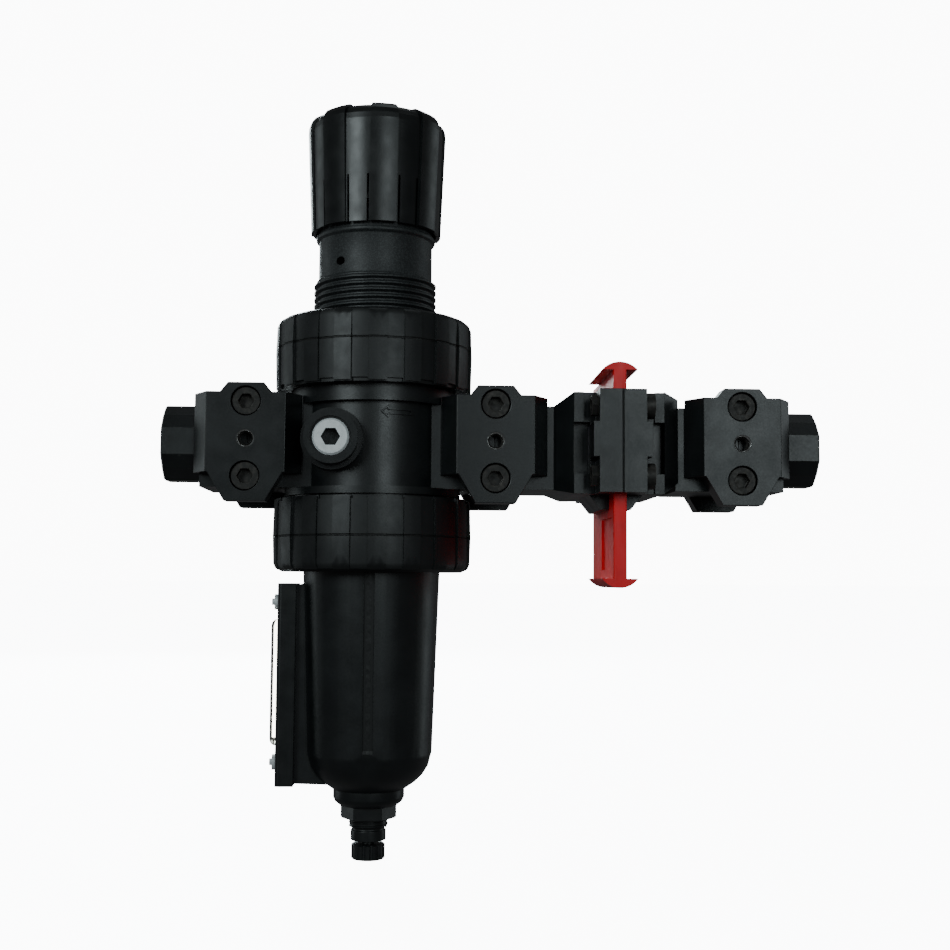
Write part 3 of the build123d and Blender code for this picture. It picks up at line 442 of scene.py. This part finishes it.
# ---- Softened edges on the cast and moulded parts ----------------------------------------------
def soften(name, width_mm):
    """Round a CAD node's sharp edges a little, as casting and moulding leave them."""
    sharp_from = math.radians(32)
    piece = nodes[name]
    weld = piece.modifiers.new("weld", "WELD")
    weld.merge_threshold = 0.002 * MM
    flat = piece.modifiers.new("flat", "DECIMATE")
    flat.decimate_type = "DISSOLVE"
    flat.angle_limit = math.radians(0.4)
    bevel = piece.modifiers.new("bevel", "BEVEL")
    bevel.width = width_mm * MM
    bevel.segments = 2
    bevel.limit_method = "ANGLE"
    bevel.angle_limit = sharp_from
    shading = piece.modifiers.new("shading", "WEIGHTED_NORMAL")
    shading.keep_sharp = True


edge_widths_mm = {
    "regulator_body": 0.3, "shutoff_body_outlet": 0.5, "shutoff_body_inlet": 0.5, "outlet_adapter": 0.5,
    "inlet_adapter": 0.5, "upper_clamp_ring": 0.25, "lower_clamp_ring": 0.25, "bowl": 0.25,
    "sight_glass_frame": 0.3, "shutoff_slide": 0.3, "drain_nut": 0.25, "drain_body": 0.15,
    "clamp_screws": 0.25,
}
for place in clamp_places:
    for half in ("front", "rear"):
        edge_widths_mm[f"{place}_clamp_{half}"] = 0.45
for name, width in edge_widths_mm.items():
    soften(name, width)


# ---- Mesh helpers ----------------------------------------------------------------------------
def piece_from(name, mesh_builder, body, material, smooth=True):
    """A new mesh object on a CAD body, from a bmesh."""
    mesh = bpy.data.meshes.new(name)
    mesh_builder.to_mesh(mesh)
    mesh_builder.free()
    mesh.materials.append(material)
    for polygon in mesh.polygons:
        polygon.use_smooth = smooth
    made = bpy.data.objects.new(name, mesh)
    bpy.context.scene.collection.objects.link(made)
    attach(made, body)
    return made


def axis_frame(axis):
    """Directions (across, up, along) for a turned shape about X, Y or Z."""
    return {"X": (Vector((0, 1, 0)), Vector((0, 0, 1)), Vector((1, 0, 0))),
            "Y": (Vector((1, 0, 0)), Vector((0, 0, 1)), Vector((0, 1, 0))),
            "Z": (Vector((1, 0, 0)), Vector((0, 1, 0)), Vector((0, 0, 1)))}[axis]


def thread(name, centre, axis, radius, start, end, pitch, depth, material, inward=False):
    """A helical thread ridge on a cylinder of the unit body, from start to end along its axis."""
    across, up, along = axis_frame(axis)
    builder = bmesh.new()
    steps_a_turn = 48
    steps = int((end - start) / pitch * steps_a_turn)
    side = -1 if inward else 1
    half_foot, half_crest = pitch * 0.42, pitch * 0.12
    rows = []
    for step in range(steps + 1):
        angle = 2 * math.pi * step / steps_a_turn
        share = min(1.0, step / steps_a_turn * 2, (steps - step) / steps_a_turn * 2)
        level = start + (end - start) * step / steps
        out = across * math.cos(angle) + up * math.sin(angle)
        crest = radius + side * depth * share
        foot = radius - side * depth * 0.3
        rows.append([
            builder.verts.new(centre + out * r + along * z)
            for r, z in ((foot, level - half_foot), (crest, level - half_crest),
                         (crest, level + half_crest), (foot, level + half_foot))
        ])
    for row, following in zip(rows, rows[1:]):
        for i in range(4):
            j = (i + 1) % 4
            builder.faces.new((row[i], row[j], following[j], following[i]))
    builder.faces.new(rows[0])
    builder.faces.new(rows[-1])
    bmesh.ops.recalc_face_normals(builder, faces=builder.faces)
    return piece_from(name, builder, "unit", material, smooth=False)


# ---- Gauge print -----------------------------------------------------------------------------
gauge_centre = box_centre("gauge_bezel")
dial_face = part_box("gauge_dial")[1].y
ZERO_ANGLE, SWEEP = 225.0, 270.0
PSI_END, KPA_END = 160, 1100
KPA_PER_PSI = 6.894757
PSI_ARC, KPA_ARC, ARC_WIDTH = 14.1 * MM, 13.6 * MM, 0.16 * MM
PSI_TEXT, KPA_TEXT = 18.9 * MM, 9.3 * MM      # radius of each scale's numbers
PRINT_LIFT = 0.05 * MM


def dial_point(radius, angle, lift=PRINT_LIFT):
    """A point on the dial at a polar place, read from +Y with the dial's right towards -X."""
    turn = math.radians(angle)
    return Vector((gauge_centre.x - radius * math.cos(turn), dial_face + lift,
                   gauge_centre.z + radius * math.sin(turn)))


def psi_angle(psi):
    return ZERO_ANGLE - SWEEP * psi / PSI_END


def add_tick(builder, angle, inner, outer, width):
    """A thin raised bar along a dial radius."""
    gap, thickness = 0.01 * MM, Vector((0, 0.05 * MM, 0))
    turn = math.radians(angle)
    across = Vector((math.sin(turn), 0, math.cos(turn))) * (width / 2)
    round_bar = ((inner, -1), (inner, 1), (outer, 1), (outer, -1))
    lower = [dial_point(radius, angle, gap) + side * across for radius, side in round_bar]
    corners = [builder.verts.new(point) for point in lower]
    raised = [builder.verts.new(point + thickness) for point in lower]
    builder.faces.new(raised)
    builder.faces.new(list(reversed(corners)))
    for i in range(4):
        j = (i + 1) % 4
        builder.faces.new((corners[i], corners[j], raised[j], raised[i]))


def add_arc(builder, radius):
    """The printed line along a whole scale."""
    steps = 90
    lift = PRINT_LIFT + 0.012 * MM
    inner, outer = radius - ARC_WIDTH / 2, radius + ARC_WIDTH / 2
    for step in range(steps):
        a0 = ZERO_ANGLE - SWEEP * step / steps
        a1 = ZERO_ANGLE - SWEEP * (step + 1) / steps
        around = ((inner, a0), (outer, a0), (outer, a1), (inner, a1))
        builder.faces.new([builder.verts.new(dial_point(r, angle, lift)) for r, angle in around])


def dial_scale(name, material, arc_radius, marks):
    """One scale: its arc and its ticks, given as (angle, inner, outer, width)."""
    builder = bmesh.new()
    for angle, inner, outer, width in marks:
        add_tick(builder, angle, inner, outer, width)
    add_arc(builder, arc_radius)
    bmesh.ops.remove_doubles(builder, verts=builder.verts, dist=0.001 * MM)
    bmesh.ops.recalc_face_normals(builder, faces=builder.faces)
    return piece_from(name, builder, "unit", material, smooth=False)


def psi_mark(psi):
    """A tick outside the psi arc: bold with a number, medium every 10, else fine."""
    if psi % 20 == 0:
        length, width = 2.6 * MM, 0.8 * MM
    elif psi % 10 == 0:
        length, width = 2.6 * MM, 0.6 * MM
    else:
        length, width = 1.1 * MM, 0.2 * MM
    return psi_angle(psi), PSI_ARC, PSI_ARC + length, width


def kpa_mark(kpa):
    """A tick inside the kPa arc: bold every 100, else fine."""
    length, width = (2.0 * MM, 0.75 * MM) if kpa % 100 == 0 else (1.0 * MM, 0.18 * MM)
    return psi_angle(kpa / KPA_PER_PSI), KPA_ARC - length, KPA_ARC, width


dial_scale("dial_scale_psi", ink_black, PSI_ARC, [psi_mark(psi) for psi in range(0, PSI_END + 1, 2)])
dial_scale("dial_scale_kpa", ink_red, KPA_ARC, [kpa_mark(kpa) for kpa in range(0, KPA_END + 1, 20)])


def dial_text(name, label, place, height, turn, material):
    """A number or unit on the dial as a thin mesh, turned anticlockwise from upright by turn degrees."""
    curve = bpy.data.curves.new(name, "FONT")
    curve.body = label
    curve.size = height
    curve.align_x = "CENTER"
    curve.align_y = "CENTER"
    curve.extrude = 0.02 * MM
    curve.offset = 0.08 * MM
    curve.space_character = 0.95
    source = bpy.data.objects.new(name + "_source", curve)
    bpy.context.scene.collection.objects.link(source)
    bpy.context.view_layer.update()
    mesh = bpy.data.meshes.new_from_object(source)
    bpy.data.objects.remove(source)
    upright = Matrix(((-1, 0, 0), (0, 0, 1), (0, 1, 0))).to_4x4()
    turned = Matrix.Rotation(math.radians(turn), 4, "Z")
    narrow = Matrix.Diagonal((0.82, 1, 1, 1))
    mesh.transform(Matrix.Translation(place) @ upright @ turned @ narrow)
    welded = bmesh.new()
    welded.from_mesh(mesh)
    bmesh.ops.remove_doubles(welded, verts=welded.verts, dist=0.001 * MM)
    welded.to_mesh(mesh)
    welded.free()
    mesh.name = name
    mesh.materials.clear()
    mesh.materials.append(material)
    made = bpy.data.objects.new(name, mesh)
    bpy.context.scene.collection.objects.link(made)
    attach(made, "unit")


for psi in range(20, PSI_END + 1, 20):
    angle = psi_angle(psi)
    dial_text(f"dial_psi_{psi}", str(psi), dial_point(PSI_TEXT, angle), 3.3 * MM, angle - 90, ink_black)
for kpa in (200, 400, 600, 800, 1000):
    angle = psi_angle(kpa / KPA_PER_PSI)
    dial_text(f"dial_kpa_{kpa}", str(kpa), dial_point(KPA_TEXT, angle), 2.5 * MM, 0, ink_red)
dial_text("dial_unit_psi", "psi", dial_point(10.6 * MM, 270), 3.0 * MM, 0, ink_black)
dial_text("dial_unit_kpa", "kPa", dial_point(7.0 * MM, 270), 3.0 * MM, 0, ink_red)


# ---- Bonnet ----------------------------------------------------------------------------------
THREAD_CORE = 22.0


def bonnet_profile():
    """Outline of (radius, z) in mm, from the foot of the flange, up the outside and down the inside."""
    flange = [(27.4, 40.1), (30.7, 40.1), (31.0, 40.4), (31.0, 44.2), (30.7, 44.5), (22.3, 44.5),
              (THREAD_CORE, 44.9)]
    threaded = [(THREAD_CORE, 45 + 0.125 * row) for row in range(1, 138)] + [(THREAD_CORE, 62.3)]
    neck = [(21.7, 62.6), (21.6, 63.0), (21.55, 77.4)]
    collar = [(21.7, 77.7), (22.5, 78.1), (22.7, 78.5), (22.7, 79.4), (22.4, 79.8), (21.6, 80.0)]
    top = [(21.55, 87.0), (20.6, 88.0), (6.1, 88.0), (6.1, 84.0)]
    inside = [(17.0, 84.0), (17.0, 42.2), (27.4, 42.2)]
    return flange + threaded + neck + collar + top + inside


def thread_swell(level, angle):
    """How far the coarse thread stands out at a height and an angle, in mm."""
    pitch, height, first, last = 2.5, 1.25, 46.6, 62.2
    turns = (level - first) / pitch - angle / (2 * math.pi)
    near = abs(turns - math.floor(turns) - 0.5) * 2      # 1 on a crest, 0 in a root
    ridge = min(1.0, max(0.0, (near - 0.22) / 0.55))
    run_in = min(1.0, max(0.0, (level - first + 0.6) / 0.8))
    run_out = min(1.0, max(0.0, (last - level + 0.5) / 0.9))
    return height * ridge * run_in * run_out


def bonnet_shell():
    """The bonnet turned with its helical thread, and its vent hole cut through the neck."""
    vent_radius, vent_place = 1.6 * MM, stem + Vector((-12.4, -17.7, 67.3)) * MM
    builder = bmesh.new()
    columns = 144
    rings_made = []
    for radius, level in bonnet_profile():
        ring = []
        for column in range(columns):
            angle = 2 * math.pi * column / columns
            r = radius + (thread_swell(level, angle) if radius == THREAD_CORE else 0.0)
            ring.append(builder.verts.new(
                stem + Vector((r * math.cos(angle), r * math.sin(angle), level)) * MM))
        rings_made.append(ring)
    for ring, following in zip(rings_made, rings_made[1:] + rings_made[:1]):
        for i in range(columns):
            j = (i + 1) % columns
            builder.faces.new((ring[i], ring[j], following[j], following[i]))
    bmesh.ops.recalc_face_normals(builder, faces=builder.faces)
    made = piece_from("bonnet_threaded", builder, "unit", bonnet_grain)
    made.data.set_sharp_from_angle(angle=math.radians(38))
    vent = bmesh.new()
    bmesh.ops.create_cone(vent, cap_ends=True, segments=32, radius1=vent_radius, radius2=vent_radius,
                          depth=14 * MM)
    bmesh.ops.rotate(vent, verts=vent.verts, matrix=Matrix.Rotation(math.radians(90), 3, "X"))
    bmesh.ops.translate(vent, verts=vent.verts, vec=vent_place)
    cutter_mesh = bpy.data.meshes.new("vent_cutter")
    vent.to_mesh(cutter_mesh)
    vent.free()
    cutter = bpy.data.objects.new("vent_cutter", cutter_mesh)
    bpy.context.scene.collection.objects.link(cutter)
    cut = made.modifiers.new("vent", "BOOLEAN")
    cut.operation = "DIFFERENCE"
    cut.object = cutter
    bpy.context.view_layer.update()
    done = bpy.data.meshes.new_from_object(made.evaluated_get(bpy.context.evaluated_depsgraph_get()))
    made.modifiers.clear()
    made.data = done
    bpy.data.objects.remove(cutter)
    return made


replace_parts(bonnet_shell(), "bonnet")


# ---- Threads ---------------------------------------------------------------------------------
first_turn, last_turn = 1.6 * MM, 13.8 * MM           # depths into a pipe port
outlet_end, inlet_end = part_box("outlet_adapter")[0].x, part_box("inlet_adapter")[1].x
for name, start, end in (("outlet_adapter_thread", outlet_end + first_turn, outlet_end + last_turn),
                         ("inlet_adapter_thread", inlet_end - last_turn, inlet_end - first_turn)):
    thread(name, pipe, "X", radius=9.32 * MM, start=start, end=end, pitch=1.81 * MM, depth=0.45 * MM,
           material=cast_black, inward=True)
for place, (x, y, z) in zip(clamp_places, clamp_holes):
    thread(f"{place}_clamp_thread", Vector((x, 0, z)), "Y", radius=2.52 * MM, start=y + 0.9 * MM,
           end=y + 5.8 * MM, pitch=1.0 * MM, depth=0.22 * MM, material=oxide,
           inward=True)
thread("drain_thread", stem, "Z", radius=6.75 * MM, start=-141.7 * MM, end=-138.7 * MM, pitch=1.3 * MM,
       depth=0.5 * MM, material=dark_plastic)


# ---- Stage, lights, camera -------------------------------------------------------------------
def stage_floor():
    """A plain pale floor under the part's lowest point, seen only directly or through clear plastic."""
    builder = bmesh.new()
    bmesh.ops.create_grid(builder, x_segments=2, y_segments=2, size=60.0)
    mesh = bpy.data.meshes.new("floor")
    builder.to_mesh(mesh)
    builder.free()
    made = bpy.data.objects.new("floor", mesh)
    made.location.z = cad_low.z - 0.0005
    bpy.context.scene.collection.objects.link(made)
    white = Surface("floor_white", (0.93, 0.94, 0.95), 0.6, Emission_Color=(0.97, 0.985, 1, 1),
                    Emission_Strength=11.0)
    white.rough(white.noise(40.0, 2), 0.55, 0.65)
    mesh.materials.append(white.material)
    made.visible_diffuse = False
    made.visible_glossy = False


def softbox(name, from_stem, width, height, watts):
    """A cool rectangular light at an offset from stem, facing the middle of the set."""
    place = stem + Vector(from_stem)
    middle = stem + Vector((0.04, 0, 0))
    light = bpy.data.lights.new(name, "AREA")
    light.shape = "RECTANGLE"
    light.size = width
    light.size_y = height
    light.energy = watts
    light.color = (0.86, 0.98, 1.0)
    made = bpy.data.objects.new(name, light)
    made.location = place
    made.rotation_mode = "QUATERNION"
    made.rotation_quaternion = (middle - place).to_track_quat("-Z", "Y")
    bpy.context.scene.collection.objects.link(made)


def pale_world(background, ambient):
    """White behind the part, and dimmer pale light from all round."""
    world = bpy.data.worlds.new("pale")
    bpy.context.scene.world = world
    world.use_nodes = True
    tree = world.node_tree
    lit = tree.nodes["Background"]
    lit.inputs["Color"].default_value = (0.95, 0.975, 1.0, 1)
    lit.inputs["Strength"].default_value = ambient
    seen = tree.nodes.new("ShaderNodeBackground")
    seen.inputs["Color"].default_value = (0.985, 0.995, 1.0, 1)
    seen.inputs["Strength"].default_value = background
    path = tree.nodes.new("ShaderNodeLightPath")
    mix = tree.nodes.new("ShaderNodeMixShader")
    tree.links.new(path.outputs["Is Camera Ray"], mix.inputs["Fac"])
    tree.links.new(lit.outputs[0], mix.inputs[1])
    tree.links.new(seen.outputs[0], mix.inputs[2])
    tree.links.new(mix.outputs[0], tree.nodes["World Output"].inputs["Surface"])


def camera(place, heading, climb, roll, lens):
    """A camera at a point, aimed by compass heading from +Y, climb above level, and roll."""
    turn, rise, tilt = (math.radians(a) for a in (heading, climb, roll))
    forward = Vector((math.sin(turn) * math.cos(rise), math.cos(turn) * math.cos(rise), math.sin(rise)))
    level_right = Vector((math.cos(turn), -math.sin(turn), 0))
    level_up = level_right.cross(forward)
    right = level_right * math.cos(tilt) + level_up * math.sin(tilt)
    up = right.cross(forward)
    data = bpy.data.cameras.new("camera")
    data.lens = lens
    data.sensor_width = 36.0
    data.clip_start = 0.01
    data.clip_end = 50.0
    made = bpy.data.objects.new("camera", data)
    rotation = Matrix((right, up, -forward)).transposed().to_4x4()
    made.matrix_world = Matrix.Translation(place) @ rotation
    bpy.context.scene.collection.objects.link(made)
    bpy.context.scene.camera = made


stage_floor()
softbox("front", (0.5, -1.35, 0.24), 0.5, 0.5, 3.4)
softbox("key", (-0.8, -1.15, 0.45), 0.5, 0.6, 7)
softbox("rim_left", (-0.9, 0.45, 0.1), 0.35, 0.9, 1.0)
softbox("rim_right", (1.0, 0.45, 0.1), 0.35, 0.9, 1.0)
softbox("back", (-0.3, 1.25, 0.5), 0.6, 0.5, 13)
softbox("top", (0.2, 0.15, 1.5), 0.8, 0.8, 1.5)
pale_world(background=11.5, ambient=0.09)
camera(stem + Vector((0.0163, -0.5038, -0.0503)), heading=2.55, climb=4.53, roll=0.41, lens=50.4)
